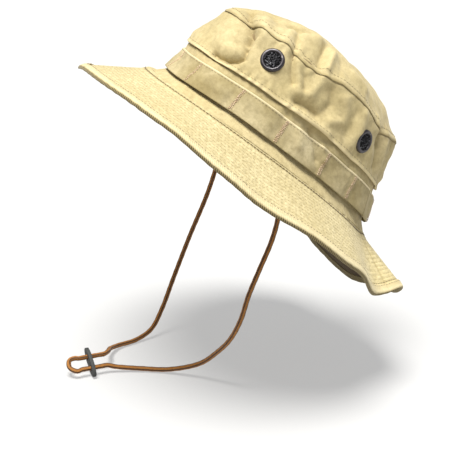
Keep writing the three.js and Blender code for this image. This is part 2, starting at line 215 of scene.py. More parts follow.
# Folds of the soft crown: depth in mm (minus is a valley), width in mm, then where the fold runs.
# ("side", angle, height in mm) is on the wall and ("top", angle, share) on the top panel.
FOLDS = [
    # pinch at the front of the top seam, between two puffs
    (-7.0, 3.8, [("top", 90, 0.84), ("top", 72, 0.95), ("side", 60, 72), ("side", 56, 68),
                 ("side", 55, 62)]),
    (3.4, 6.0, [("top", 66, 0.84), ("top", 60, 0.92), ("side", 50, 70)]),
    (1.4, 8.5, [("top", 98, 0.93), ("top", 86, 0.99), ("side", 74, 66), ("side", 68, 58)]),
    (-3.2, 4.5, [("top", 80, 0.68), ("top", 66, 0.76), ("top", 58, 0.84)]),
    # drooping pouch below it, and the hollow under the pouch
    (2.4, 5.0, [("side", 70, 49), ("side", 63, 47), ("side", 57, 49)]),
    (-5.8, 2.3, [("side", 66, 39), ("side", 62, 38.5), ("side", 56, 40), ("side", 52, 44),
                 ("side", 50.5, 49), ("side", 53, 56)]),
    # upright crease behind the front vent
    (-4.4, 2.8, [("top", 44, 0.72), ("top", 38, 0.85), ("top", 33, 0.96), ("side", 30, 70),
                 ("side", 25.5, 60), ("side", 22, 54)]),
    (2.6, 4.5, [("top", 40, 0.93), ("side", 35, 68), ("side", 31, 58)]),
    (2.4, 4.0, [("side", 25, 67), ("side", 20.5, 58), ("side", 17, 50)]),
    (-2.4, 3.0, [("side", 19, 62), ("side", 16, 55)]),
    # hollow over the lapped seam
    (-4.2, 3.6, [("side", 16, 43.5), ("side", 10, 45.5), ("side", 5, 45)]),
    (2.6, 3.6, [("side", 17, 37), ("side", 8, 37.5), ("side", -2, 38)]),
    # long soft hollows on the side
    (-3.2, 5.0, [("side", 4.5, 68), ("side", 2, 59), ("side", 3, 51)]),
    (2.4, 4.2, [("side", 10, 70), ("side", 11, 62), ("side", 12, 54)]),
    (2.2, 4.0, [("side", -2, 67), ("side", -5.5, 60), ("side", -6, 53), ("side", -1, 47)]),
    (-2.0, 4.5, [("side", -10, 66), ("side", -11, 56), ("side", -10, 46)]),
    (2.2, 5.5, [("side", -15, 68), ("side", -16, 54), ("side", -15, 44)]),
    # pleat on the top panel and the dents beside it
    (3.2, 3.4, [("top", 14, 0.72), ("top", 13, 0.84), ("top", 12, 0.95)]),
    (-3.8, 3.8, [("top", 22, 0.68), ("top", 19, 0.84), ("top", 17, 0.96)]),
    (-2.4, 4.5, [("top", 6, 0.76), ("top", 5, 0.92)]),
    (-4.8, 3.8, [("top", 53, 0.72), ("top", 46, 0.66), ("top", 37, 0.60)]),
    (3.6, 5.5, [("top", 44, 0.80), ("top", 36, 0.73), ("top", 28, 0.66)]),
    (2.0, 5.0, [("top", -3, 0.76), ("top", -14, 0.78)]),
    # back left corner
    (-3.4, 4.2, [("side", -36, 69), ("side", -38, 58), ("side", -41, 46)]),
    (2.2, 5.5, [("side", -46, 66), ("side", -49, 50)]),
    (2.2, 4.5, [("side", -31, 70), ("top", -30, 0.94)]),
    # far side and the middle of the top, less marked
    (-3.6, 7.0, [("side", 118, 66), ("side", 124, 54)]),
    (-3.2, 6.0, [("side", 158, 64), ("side", 164, 50)]),
    (2.8, 7.0, [("side", 138, 60), ("side", 142, 48)]),
    (-3.4, 6.0, [("side", 192, 66), ("side", 188, 52)]),
    (-3.6, 7.0, [("side", 232, 66), ("side", 226, 50)]),
    (3.0, 7.0, [("side", 212, 56), ("side", 216, 46)]),
    (-3.6, 8.0, [("top", 130, 0.95), ("top", 120, 0.70), ("top", 100, 0.45)]),
    (-3.2, 7.0, [("top", 215, 0.92), ("top", 210, 0.6), ("top", 180, 0.35)]),
    (3.0, 7.0, [("top", 165, 0.80), ("top", 150, 0.5)]),
    (-3.0, 6.0, [("side", 265, 66), ("side", 262, 50)]),
    (2.8, 6.0, [("side", 280, 62), ("side", 284, 48)]),
    # broad shape: soft front corner, fuller middle, flatter back of the dome
    (-1.5, 15.0, [("top", 88, 0.99), ("top", 108, 0.98)]),
    (4.0, 16.0, [("top", 45, 0.50), ("top", 20, 0.60)]),
    (-3.2, 17.0, [("top", -22, 0.90), ("top", -62, 0.90)]),
    (-2.6, 14.0, [("side", -46, 66), ("side", -62, 36)]),
    # small puckers at the lapped seam and in the foliage band
    (-2.0, 2.4, [("side", 16.5, 36), ("side", 16, 31)]),
    (-4.0, 2.4, [("side", 4.5, 33), ("side", 2, 28), ("side", -1, 23), ("side", -3.5, 17)]),
    (2.6, 3.2, [("side", -3.5, 29), ("side", -6, 22)]),
    (1.8, 4.0, [("side", 8, 27), ("side", 5, 19)]),
    (1.8, 6.0, [("side", 55, 20), ("side", 46, 18)]),
]


def fold_path(stops):
    points = []
    for kind, angle, place in stops:
        if kind == "side":
            points.append(wall_point(angle, 1.4 * MM, np.float64(place * MM)))
        else:
            points.append(top_point(angle, np.float64(place), 0))
    return np.array(points)


FOLD_PATHS = [(depth * MM, width * MM, fold_path(stops)) for depth, width, stops in FOLDS]
CROWN_MIDDLE = np.array([0, 0, 0.02])


def relief_amount(points):
    """How far the folds push each point of the level hat out of the smooth crown."""
    total = 0.7 * MM * bumps(points, 11, 0.034) + 0.4 * MM * bumps(points, 13, 0.02)
    total = total + 0.25 * MM * bumps(points, 12, 0.011)
    for depth, width, path in FOLD_PATHS:
        nearest = np.full(points.shape[:-1], np.inf)
        for start, stop in zip(path[:-1], path[1:]):
            along = stop - start
            share = np.clip(((points - start) @ along) / (along @ along), 0, 1)
            gap = np.linalg.norm(points - start - share[..., None] * along, axis=-1)
            nearest = np.minimum(nearest, gap)
        total = total + depth * np.exp(-(nearest / width) ** (1.4 if depth < 0 else 2))
    return total


def relief(points, strength=1.0):
    outward = points - CROWN_MIDDLE
    outward = outward / np.linalg.norm(outward, axis=-1, keepdims=True)
    return points + outward * (relief_amount(points) * strength)[..., None]


def angle_gap(angle, centre):
    return (np.asarray(angle) - centre + 180) % 360 - 180


def near(value, centre, width):
    return np.exp(-((value - centre) / width) ** 2)


def near_angle(angle, centre, width):
    return near(angle_gap(angle, centre), 0, width)


# How far the top seam sags below its smooth line, in mm, where, and over what half width in degrees.
SEAM_DIPS = [(5.0, 23, 7), (3.5, 12, 6), (-1.5, 60, 8), (4.5, -33, 9), (-3.0, -66, 13),
             (-1.5, -12, 8), (2.5, 150, 12), (3.0, 215, 14), (2.0, 262, 10)]


def seam_dip(angle):
    return sum(drop * MM * near_angle(angle, centre, width) for drop, centre, width in SEAM_DIPS)


def low_fade(height):
    """The crown holds its shape at the brim seam and gives way above it."""
    return np.clip((height - 2 * MM) / (14 * MM), 0, 1)


def side_surface(angle, height, lift):
    top_roll = -0.7 * MM * near(height, CROWN_HEIGHT, 0.9 * MM)
    hem_roll = 0.9 * MM * near(height, BASE_HEIGHT + 1.0 * MM, 2.2 * MM)
    puckers = 0.35 * MM * waves(angle, 3, 50, 90) * near(height, BASE_HEIGHT + 3 * MM, 5 * MM)
    top_puckers = 0.35 * MM * waves(angle, 5, 45, 80) * near(height, CROWN_HEIGHT - 3 * MM, 4 * MM)
    sag = 0.5 * MM * waves(angle, 8, 6, 14) * near(height, BASE_HEIGHT, 3 * MM)
    across = 0.9 * MM + lift + top_roll + hem_roll + puckers + top_puckers + front_tuck(angle, height)
    share = np.clip((height - BASE_HEIGHT) / (CROWN_HEIGHT - BASE_HEIGHT), 0, 1)
    point = wall_point(angle, across, height + sag)
    point[..., 2] -= seam_dip(angle) * share ** 2
    return tilt(relief(point))


def top_surface(angle, share, lift):
    roll = -0.6 * MM * near(share, 1, 0.012)
    welt = 0.12 * MM * near(share, 0.955, 0.02)
    puckers = 0.3 * MM * waves(angle, 6, 45, 80) * near(share, 0.94, 0.05)
    point = top_point(angle, share, lift + roll + welt + puckers)
    point[..., 2] -= seam_dip(angle) * np.clip((share - 0.55) / 0.45, 0, 1) ** 2
    return tilt(relief(point))


def wall_recess(height):
    """The base wall flares out to the brim seam from behind the foliage band."""
    return MM * np.interp(height / MM, (0, 2, 4.5, 8, 10, 22, 30), (4.2, 2.2, 0.2, -2.2, -2.8, -1.0, 0))


def front_tuck(angle, height):
    """The soft crown sits further back at the front than a true oval would."""
    fade = np.interp(height / MM, (0, 22, 44), (1, 1, 0))
    return -TUCK_DEPTH * near_angle(angle, TUCK_ANGLE, TUCK_SPREAD) * fade


def base_surface(angle, height, lift):
    strength = low_fade(height)
    puckers = 0.2 * MM * waves(angle, 4, 40, 80) * near(height, 0, 5 * MM)
    across = lift + puckers + wall_recess(height) + front_tuck(angle, height)
    foot = 1.1 * MM * np.clip(1 - height / (3 * MM), 0, 1)
    return tilt(relief(wall_point(angle, across, height - foot), strength))


def band_lap(angle):
    """How far the band's outer end stands over its inner end."""
    from_end = angle - BAND_END
    return np.where(from_end < 180, 1 - np.clip((from_end - BAND_OVERLAP) / BAND_RAMP, 0, 1), 0)


def band_surface(angle, height, lift):
    """The band stands off the wall between its tacks, least of all at the front."""
    away = np.min(np.abs(angle_gap(np.asarray(angle)[..., None], np.array(TACK_ROWS, float))), -1)
    bulge = 1 - np.exp(-(away / 5.5) ** 2)
    low = np.clip(1 - (height - BAND_LOW) / BAND_HEIGHT, 0, 1)
    stand = bulge * (0.9 + 0.5 * low ** 2) * MM * (1 + 0.5 * waves(angle, 21, 4, 9))
    pinch = 0.25 * MM * waves(angle, 22, 60, 110) * (1 - bulge)
    stand = np.maximum(stand, 0) * (1 - 0.85 * near_angle(angle, TUCK_ANGLE, TUCK_SPREAD))
    across = 1.0 * MM + lift + stand + pinch + 1.4 * MM * band_lap(angle) + front_tuck(angle, height)
    dip = 0.5 * MM * waves(angle, 23, 5, 12)
    return tilt(relief(wall_point(angle, across, height + dip), low_fade(height)))


QUILT_ROWS = np.arange(QUILT_START, HEM_LINE - 2 * MM, QUILT_PITCH)


def brim_relief(angle, out):
    """Height of the quilted brim's surface over a smooth one."""
    wobble = 0.35 * MM * waves(angle, 31, 20, 40)
    groove = sum(near(out + wobble * 0.6, row, 0.75 * MM) for row in QUILT_ROWS)
    back = near_angle(angle, -78, 24)
    depth = 0.16 * MM + 0.5 * MM * back * (0.5 + 0.5 * waves(angle, 36, 10, 24))
    puff = 0.20 * MM * waves(angle + out * 900, 32, 60, 110)
    edge = np.clip(out / BRIM_WIDTH, 0, 1) ** 1.5
    slow = 1.3 * MM * edge * waves(angle, 33, 7, 15) * (1 - 0.8 * near_angle(angle, 90, 45))
    hem = -0.35 * MM * near(out, HEM_LINE, 0.8 * MM)
    root = -0.5 * MM * near(out, BRIM_SEAM_LINE, 0.7 * MM)
    seam = -0.5 * MM * near(np.radians(angle_gap(angle, RADIAL_SEAM)) * 95 * MM, 0, 0.9 * MM)
    return -groove * depth + puff * 0.6 + slow + hem + root + seam


def brim_surface(angle, out, up):
    """The brim: out is the way along the cloth from the seam, up is across its thickness."""
    droop = droop_at(angle)
    trim = 1 - TRIM_SHARE * near_angle(angle, TRIM_ANGLE, TRIM_SPREAD)
    inside = out + 0.5 * front_tuck(angle, 0 * out)
    reach = np.where(out < 0, inside, out * np.cos(droop) * trim)
    fall = np.where(out < 0, 0, out * np.sin(droop))
    point = wall_point(angle, reach, 0.0 * out)
    fade = np.clip(out / (4 * MM), 0, 1)
    root = 1.7 * MM * near(out, 3.5 * MM, 4 * MM)
    point[..., 2] += up / np.cos(droop) - fall + brim_relief(angle, out) * fade + root
    return tilt(point)


# ---- Mesh making ----
def mesh_object(name, vertices, faces, uvs, tints, material):
    mesh = bpy.data.meshes.new(name)
    mesh.from_pydata(vertices.tolist(), [], faces.tolist() if hasattr(faces, "tolist") else faces)
    if uvs is not None:
        layer = mesh.uv_layers.new(name="weave")
        layer.data.foreach_set("uv", np.asarray(uvs, np.float32).ravel())
    attribute = mesh.attributes.new("tint", "FLOAT", "POINT")
    shades = np.zeros(len(vertices)) if tints is None else tints
    attribute.data.foreach_set("value", np.asarray(shades, np.float32).ravel())
    mesh.polygons.foreach_set("use_smooth", np.ones(len(mesh.polygons), bool))
    mesh.materials.append(material)
    return add_object(name, mesh)


def on_hat(made, slot, *nodes):
    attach(made, "hat")
    if nodes:
        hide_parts(*nodes)
    return made


def signed_volume(points, faces):
    a, b, c, d = [points[faces[:, k]] for k in range(4)]
    return np.sum(np.cross(a, b) * c + np.cross(a, c) * d)


def grid_cells(rows, columns):
    """Row and column of each cell, as two flat lists."""
    i, j = np.meshgrid(np.arange(rows), np.arange(columns), indexing="ij")
    return i.ravel(), j.ravel()


def grid_faces(rows, columns, spans):
    """Faces of a grid of points. The columns close on themselves, and the rows if spans is rows."""
    i, j = grid_cells(spans, columns)
    inext, jnext = (i + 1) % rows, (j + 1) % columns
    corners = [i * columns + j, inext * columns + j, inext * columns + jnext, i * columns + jnext]
    return np.stack(corners, 1)


def grid_uvs(u, v):
    """The uv at the four corners of each cell between the steps u and v."""
    i, j = grid_cells(len(u) - 1, len(v) - 1)
    corners = [u[i], v[j], u[i + 1], v[j], u[i + 1], v[j + 1], u[i], v[j + 1]]
    return np.stack(corners, 1).reshape(-1, 4, 2)


def tube_faces(base, stops, corners):
    """Faces round a tube of loops; the points of the first loop start at base."""
    faces = []
    for k in range(stops - 1):
        for c in range(corners):
            d = (c + 1) % corners
            faces.append([base + k * corners + c, base + k * corners + d,
                          base + (k + 1) * corners + d, base + (k + 1) * corners + c])
    return faces


def reach_along(path):
    """Distance from the start of a path to each of its points."""
    return np.concatenate([[0], np.cumsum(np.linalg.norm(np.diff(path, axis=0), axis=1))])


def read_along(reach, path, at):
    """The points of a path at given distances from its start."""
    return np.stack([np.interp(at, reach, path[:, k]) for k in range(3)], -1)


def circle(count):
    return np.arange(count) / count * 2 * math.pi


def turned(outward):
    """The turn from +Z to an outward direction, as a matrix."""
    return np.array(Vector((0, 0, 1)).rotation_difference(Vector(outward)).to_matrix())


def ring(name, section, place, angles, closed, material, tint=None, holes=(), girth=0.55):
    """A closed section of (across, up) points carried round the hat by place(angle, across, up)."""
    section = np.array(section)
    rows, columns = len(angles), len(section)
    turn, across = np.meshgrid(angles, section[:, 0], indexing="ij")
    up = np.broadcast_to(section[:, 1], across.shape)
    points = place(turn, across, up).reshape(-1, 3)
    tints = np.zeros(across.shape) if tint is None else tint(turn, across, up)
    spans = rows if closed else rows - 1
    faces = grid_faces(rows, columns, spans)
    outline = points[[*range(columns), 0]]
    uvs = grid_uvs(np.linspace(0, girth, spans + 1), reach_along(outline))
    if signed_volume(points, faces) < 0:
        faces, uvs = faces[:, ::-1], uvs[:, ::-1]
    if len(holes):
        centres = points[faces].mean(1)
        keep = np.ones(len(faces), bool)
        for centre, radius in holes:
            keep &= np.linalg.norm(centres - centre, axis=1) > radius
        faces, uvs = faces[keep], uvs[keep]
    uvs = uvs.reshape(-1, 2)
    faces = faces.tolist()
    if not closed:
        faces += [[end * columns + k for k in range(columns)] for end in (0, rows - 1)]
        uvs = np.concatenate([uvs, np.zeros((2 * columns, 2))])
    return mesh_object(name, points, faces, uvs, tints, material)


def sheet_section(low, high, thickness, steps):
    """Outline of a cloth layer with rounded edges: outer face up, then inner face down.
    across runs from 0 (outer face) to -thickness (inner face)."""
    half = thickness / 2
    heights = [low + half + (high - low - thickness) * k / steps for k in range(steps + 1)]
    bends = 5
    arc = [(math.cos(math.pi * k / bends), math.sin(math.pi * k / bends)) for k in range(1, bends)]
    outline = [(0, height) for height in heights]
    outline += [(-half + half * x, high - half + half * y) for x, y in arc]
    outline += [(-thickness, height) for height in heights[::-1]]
    outline += [(-half + half * x, low + half - half * y) for x, y in arc[::-1]]
    return outline


def thread(name, runs, material, radius):
    """Sewn stitches: each run is (points on the cloth, outward directions, stitch length, gap)."""
    corners = 6
    vertices, faces = [], []
    for path, outward, length, gap in runs:
        reach = reach_along(path)
        starts = np.arange(0, reach[-1] - length, length + gap)
        shares = np.array([0, 0.18, 0.5, 0.82, 1.0])
        lifts = np.array([-0.9, 0.35, 0.75, 0.35, -0.9]) * radius * 1.5
        at = starts[:, None] + shares[None, :] * length
        centre = read_along(reach, path, at)
        rise = read_along(reach, outward, at)
        rise /= np.linalg.norm(rise, axis=-1, keepdims=True)
        ahead = centre[:, -1] - centre[:, 0]
        ahead = (ahead / np.linalg.norm(ahead, axis=-1, keepdims=True))[:, None, :]
        side = np.cross(np.broadcast_to(ahead, rise.shape), rise)
        side /= np.linalg.norm(side, axis=-1, keepdims=True)
        centre = centre + rise * lifts[None, :, None]
        turn = circle(corners)[:, None]
        loops = (centre[:, :, None, :] + radius * np.cos(turn) * side[:, :, None, :]
                 + radius * np.sin(turn) * rise[:, :, None, :])
        first = sum(len(block) for block in vertices)
        count, stops = loops.shape[:2]
        vertices.append(loops.reshape(-1, 3))
        for s in range(count):
            base = first + s * stops * corners
            faces += tube_faces(base, stops, corners)
            faces.append([base + c for c in range(corners)][::-1])
            faces.append([base + (stops - 1) * corners + c for c in range(corners)])
    return mesh_object(name, np.concatenate(vertices), faces, None, None, material)


def surface_run(surface, a, b, length, gap):
    """A stitch run along arrays a, b of a surface function, with its outward directions."""
    a, b = np.broadcast_arrays(np.asarray(a, float), np.asarray(b, float))
    here = surface(a, b, np.zeros(a.shape))
    outward = surface(a, b, np.full(a.shape, 1 * MM)) - here
    return here, outward, length, gap


# ---- Materials ----
def feed(tree, socket, value):
    """Link an input to another node's output, or set it to a plain value."""
    if isinstance(value, bpy.types.NodeSocket):
        tree.links.new(value, socket)
    else:
        socket.default_value = value


def node(tree, kind, sockets=None, **settings):
    made = tree.nodes.new(kind)
    for key, value in settings.items():
        setattr(made, key, value)
    for key, value in (sockets or {}).items():
        feed(tree, made.inputs[key], value)
    return made


def blank(name, shader):
    """A new material with only its shader, whose inputs are set from a table."""
    material = bpy.data.materials.new(name)
    material.use_nodes = True
    tree = material.node_tree
    tree.nodes.clear()
    principled = node(tree, "ShaderNodeBsdfPrincipled", shader)
    output = node(tree, "ShaderNodeOutputMaterial")
    tree.links.new(principled.outputs[0], output.inputs[0])
    return material, tree, principled


def mixed(tree, factor, first, second):
    """A blend of two colours. Inputs 6 and 7 and output 2 are the node's colour sockets."""
    return node(tree, "ShaderNodeMix", {0: factor, 6: first, 7: second}, data_type="RGBA").outputs[2]


def calc(tree, operation, first, second=0.0, third=0.0):
    return node(tree, "ShaderNodeMath", {0: first, 1: second, 2: third}, operation=operation).outputs[0]


def span(tree, value, low, high, to_low=0.0, to_high=1.0):
    """The value stretched from one span to another, and held at its ends."""
    sockets = {"Value": value, "From Min": low, "From Max": high, "To Min": to_low, "To Max": to_high}
    return node(tree, "ShaderNodeMapRange", sockets).outputs[0]


def noise(tree, place, scale, detail, roughness=0.5):
    sockets = {"Vector": place, "Scale": scale, "Detail": detail, "Roughness": roughness}
    return node(tree, "ShaderNodeTexNoise", sockets).outputs["Fac"]


def bumped(tree, height, strength, distance, **normal):
    """A surface direction roughened by a height; Normal is the one it starts from."""
    sockets = {"Height": height, "Strength": strength, "Distance": distance, **normal}
    return node(tree, "ShaderNodeBump", sockets).outputs[0]


def object_place(tree):
    return node(tree, "ShaderNodeTexCoord").outputs["Object"]


def bands(tree, place, direction, scale, distortion, detail_scale):
    sockets = {"Vector": place, "Scale": scale, "Distortion": distortion, "Detail": 2,
               "Detail Scale": detail_scale}
    made = node(tree, "ShaderNodeTexWave", sockets, wave_type="BANDS", bands_direction=direction)
    return made.outputs["Fac"]


def finish_shader(tree, shader, **looks):
    """Link the finished colour, roughness or surface direction to the shader."""
    inputs = {"colour": "Base Color", "rough": "Roughness", "normal": "Normal"}
    for look, socket in looks.items():
        tree.links.new(socket, shader.inputs[inputs[look]])


def cloth(name, base, dark, pale, weave=0.55, mottle=0.5, ribs=0.0, dimple=0.0):
    """Twill cotton: diagonal weave, slubs, faded and soiled patches, with painted highlight and painted shade
    from the mesh's tint.
    ribs is the pitch of a ribbed tape in mm, dimple the depth of a quilted cloth's puffs."""
    material, tree, shader = blank(name, {
        "Roughness": 0.9, "Sheen Weight": 0.25, "Sheen Roughness": 0.45,
        "Sheen Tint": (1.0, 0.93, 0.72, 1), "Specular IOR Level": 0.25})
    place = node(tree, "ShaderNodeTexCoord")
    in_mm = node(tree, "ShaderNodeVectorMath", {0: place.outputs["UV"], "Scale": 1000}, operation="SCALE")
    spot = in_mm.outputs[0]
    pitch = 0.314 / weave
    twill = bands(tree, spot, "DIAGONAL", pitch, 1.2, 1.5)
    weft = bands(tree, spot, "Y", pitch * 1.3, 0.8, 1.0)
    slub_place = node(tree, "ShaderNodeMapping", {"Vector": spot, "Scale": (0.12, 1.2, 1)})
    slub = noise(tree, slub_place.outputs[0], 1.0, 3)
    where = place.outputs["Object"]
    fade = noise(tree, where, 24, 3, 0.55)
    grain = noise(tree, where, 330, 4, 0.7)
    blotch = noise(tree, where, 170, 3, 0.6)
    tint = node(tree, "ShaderNodeAttribute", attribute_name="tint").outputs["Fac"]
    # Layers of colour: what drives each, over which span, how far it shows at both ends, its colour.
    layers = [
        (fade, 0.35, 0.75, 0.0, 0.6, pale),
        (blotch, 0.38, 0.72, 0.0, 0.5 * mottle, dark),
        (grain, 0.42, 0.75, 0.0, 0.75 * mottle, dark),
        (slub, 0.5, 0.75, 0.0, 0.0 if dimple else 0.10, dark),
        (twill, 0.0, 0.6, 0.16, 0.0, dark),
        # The two tint layers are painted light: pale for painted highlight, dark for painted shade, plus a
        # little random tone along the crown's lapped edge.
        (tint, 0.0, 1.0, 0.0, 0.75, pale),
        (tint, 0.0, -1.0, 0.0, 0.85, dark),
    ]
    colour = base
    for driver, low, high, at_low, at_high, layer in layers:
        colour = mixed(tree, span(tree, driver, low, high, at_low, at_high), colour, layer)
    height = calc(tree, "MULTIPLY", twill, 0.5)
    for part, share in ((weft, 0.35), (slub, 0.0 if dimple else 0.2), (grain, 1.6 * mottle)):
        height = calc(tree, "MULTIPLY_ADD", part, share, height)
    normal = bumped(tree, height, 0.25 if dimple else 0.5, 0.22 * MM)
    if dimple:
        puffs = noise(tree, spot, 0.33, 1, 0.4)
        # Painted shade in the hollows between the quilted puffs.
        colour = mixed(tree, span(tree, puffs, 0.36, 0.54, 0.30, 0.0), colour, dark)
        normal = bumped(tree, puffs, 0.8, dimple, Normal=normal)
    if ribs:
        across = node(tree, "ShaderNodeSeparateXYZ", {0: spot})
        slant = calc(tree, "MULTIPLY_ADD", across.outputs[1], 0.35, across.outputs[0])
        rib = calc(tree, "SINE", calc(tree, "MULTIPLY", slant, 2 * math.pi / ribs))
        # Painted shade in the rib grooves, strongest where the tint marks the underside of the binding.
        shade = calc(tree, "MULTIPLY", span(tree, rib, 0.1, -0.9, 0.0, 0.9), span(tree, tint, -0.2, -0.7))
        colour = mixed(tree, shade, colour, (0.045, 0.035, 0.018, 1))
        normal = bumped(tree, rib, 0.35, 0.25 * MM, Normal=normal)
    rough = span(tree, grain, 0.3, 0.7, 0.82, 0.96)
    finish_shader(tree, shader, colour=colour, rough=rough, normal=normal)
    return material


def thread_material(name, pale, dark):
    material, tree, shader = blank(name, {"Roughness": 0.6, "Sheen Weight": 0.3})
    ply = noise(tree, object_place(tree), 900, 2)
    colour = mixed(tree, span(tree, ply, 0.35, 0.65), pale, dark)
    finish_shader(tree, shader, colour=colour, normal=bumped(tree, ply, 0.6, 0.1 * MM))
    return material


def gunmetal_material():
    looks = {"Metallic": 0.6, "Coat Weight": 0.3, "Coat Roughness": 0.2}
    material, tree, shader = blank("gunmetal_enamel", looks)
    place = object_place(tree)
    wear = noise(tree, place, 420, 5)
    broad = noise(tree, place, 120, 2)
    colour = mixed(tree, span(tree, broad, 0.3, 0.7), (0.022, 0.020, 0.024, 1), (0.060, 0.052, 0.058, 1))
    colour = mixed(tree, span(tree, wear, 0.62, 0.72, 0, 0.8), colour, (0.30, 0.27, 0.27, 1))
    finish_shader(tree, shader, colour=colour, rough=span(tree, wear, 0.3, 0.7, 0.28, 0.5),
                  normal=bumped(tree, wear, 0.2, 0.1 * MM))
    return material


def wire_material():
    material, tree, shader = blank("vent_wire", {"Metallic": 0.85})
    wear = noise(tree, object_place(tree), 600, 3)
    colour = mixed(tree, span(tree, wear, 0.52, 0.7), (0.018, 0.018, 0.02, 1), (0.22, 0.22, 0.24, 1))
    finish_shader(tree, shader, colour=colour, rough=span(tree, wear, 0.3, 0.7, 0.25, 0.5))
    return material


def cord_material():
    """Braided cord: golden brown with dark lengthwise strands, a herringbone braid and painted shade in the
    braid's troughs.
    """
    material, tree, shader = blank("cord_braid_yarn", {"Roughness": 0.7, "Sheen Weight": 0.1})
    place = node(tree, "ShaderNodeTexCoord")
    spot = node(tree, "ShaderNodeSeparateXYZ", {0: place.outputs["UV"]})
    along, around = spot.outputs[0], spot.outputs[1]
    lean = calc(tree, "PINGPONG", calc(tree, "MULTIPLY", around, 8), 1.0)
    turns = calc(tree, "MULTIPLY", along, 2 * math.pi / (1.1 * MM))
    braid = calc(tree, "SINE", calc(tree, "ADD", turns, calc(tree, "MULTIPLY", lean, 3.1)))
    strand = calc(tree, "ABSOLUTE", calc(tree, "SINE", calc(tree, "MULTIPLY", around, 8 * math.pi)))
    stripe = calc(tree, "COSINE", calc(tree, "MULTIPLY_ADD", around, 8 * math.pi, math.pi))
    yarn = noise(tree, place.outputs["Object"], 500, 3)
    golden = mixed(tree, yarn, (0.46, 0.19, 0.02, 1), (0.24, 0.085, 0.009, 1))
    # Painted shade in the troughs of the braid.
    colour = mixed(tree, span(tree, braid, -1.0, 0.2, 0.45, 0.0), golden, (0.10, 0.035, 0.008, 1))
    colour = mixed(tree, span(tree, stripe, 0.25, 0.7, 0.0, 0.93), colour, (0.035, 0.014, 0.006, 1))
    height = calc(tree, "MULTIPLY_ADD", strand, 0.8, calc(tree, "MULTIPLY", braid, 0.35))
    finish_shader(tree, shader, colour=colour, normal=bumped(tree, height, 0.7, 0.25 * MM))
    return material


def leather_material():
    material, tree, shader = blank("keeper_hide", {"Roughness": 0.7, "Specular IOR Level": 0.4})
    place = object_place(tree)
    cells = node(tree, "ShaderNodeTexVoronoi", {"Vector": place, "Scale": 900}).outputs["Distance"]
    broad = noise(tree, place, 160, 4)
    colour = mixed(tree, broad, (0.022, 0.024, 0.024, 1), (0.075, 0.078, 0.074, 1))
    colour = mixed(tree, span(tree, cells, 0.0, 0.25, 0.5, 0.0), colour, (0.012, 0.012, 0.012, 1))
    finish_shader(tree, shader, colour=colour, rough=span(tree, broad, 0.3, 0.7, 0.6, 0.85),
                  normal=bumped(tree, cells, 0.5, 0.15 * MM))
    return material


# Cloths: the main colour, the dark used for dirt and painted shade, and the pale used for faded parts and
# painted highlight. The brim's twill is a lighter copy of the khaki as painted light on the brim, the band's
# a darker copy as painted shade on the band.
KHAKI = cloth("khaki_twill", (0.56, 0.465, 0.24, 1), (0.22, 0.16, 0.065, 1), (0.72, 0.61, 0.36, 1))
BAND_KHAKI_PAINTED_SHADE = cloth("band_twill_painted_shade", (0.37, 0.30, 0.145, 1), (0.16, 0.12, 0.045, 1), (0.88, 0.77, 0.50, 1))
BRIM_KHAKI_PAINTED_LIGHT = cloth("brim_twill_painted_light", (0.62, 0.53, 0.295, 1), (0.33, 0.26, 0.115, 1), (0.78, 0.69, 0.43, 1),
                   mottle=0.7, dimple=0.9 * MM)
# The brim's underside is khaki twill painted near black: painted shade under the brim.
UNDER_KHAKI_PAINTED_SHADE = cloth("brim_under_twill_painted_shade", (0.085, 0.055, 0.028, 1), (0.04, 0.025, 0.012, 1),
                    (0.13, 0.09, 0.045, 1))
BINDING = cloth("binding_twill", (0.62, 0.51, 0.27, 1), (0.20, 0.15, 0.06, 1), (0.80, 0.70, 0.44, 1),
                weave=0.4, ribs=1.7)
LINING = cloth("lining_tape", (0.27, 0.20, 0.10, 1), (0.13, 0.09, 0.04, 1), (0.36, 0.27, 0.14, 1), weave=0.4)
STIFFENER = cloth("interlining_felt", (0.75, 0.71, 0.60, 1), (0.5, 0.46, 0.36, 1), (0.85, 0.82, 0.72, 1))
SEWING = thread_material("sewing_thread", (0.17, 0.12, 0.05, 1), (0.08, 0.05, 0.018, 1))
QUILT_SEWING = thread_material("quilting_thread", (0.50, 0.40, 0.19, 1), (0.30, 0.22, 0.08, 1))
PALE_SEWING = thread_material("tack_thread", (0.80, 0.62, 0.45, 1), (0.42, 0.27, 0.15, 1))
GUNMETAL = gunmetal_material()
WIRE = wire_material()
CORD = cord_material()
HIDE = leather_material()

# Angles of the crown's cloth, all the way round.
TURN = np.arange(540) * 360 / 540


# ---- Chin cord ----
def between(x, low, high, first, second):
    """A straight blend: first where x is low, second where x is high."""
    return (high - x) / (high - low) * first + (x - low) / (high - low) * second


def smooth_route(points, spacing):
    """A centripetal Catmull-Rom curve through the points, cut into even steps."""
    points = np.array(points) * MM
    ahead = 2 * points[-1] - points[-2]
    behind = 2 * points[0] - points[1]
    padded = np.concatenate([[behind], points, [ahead]])
    found = []
    for k in range(len(points) - 1):
        p = padded[k:k + 4]
        t = np.concatenate([[0], np.cumsum(np.linalg.norm(np.diff(p, axis=0), axis=1) ** 0.5)])
        x = np.linspace(t[1], t[2], 40, endpoint=False)[:, None]
        a1, a2, a3 = [between(x, t[m], t[m + 1], p[m], p[m + 1]) for m in range(3)]
        b1 = between(x, t[0], t[2], a1, a2)
        b2 = between(x, t[1], t[3], a2, a3)
        found.append(between(x, t[1], t[2], b1, b2))
    dense = np.concatenate(found + [points[-1:]])
    reach = reach_along(dense)
    count = int(round(reach[-1] / spacing))
    return read_along(reach, dense, np.linspace(0, reach[-1], count + 1)), reach[-1]


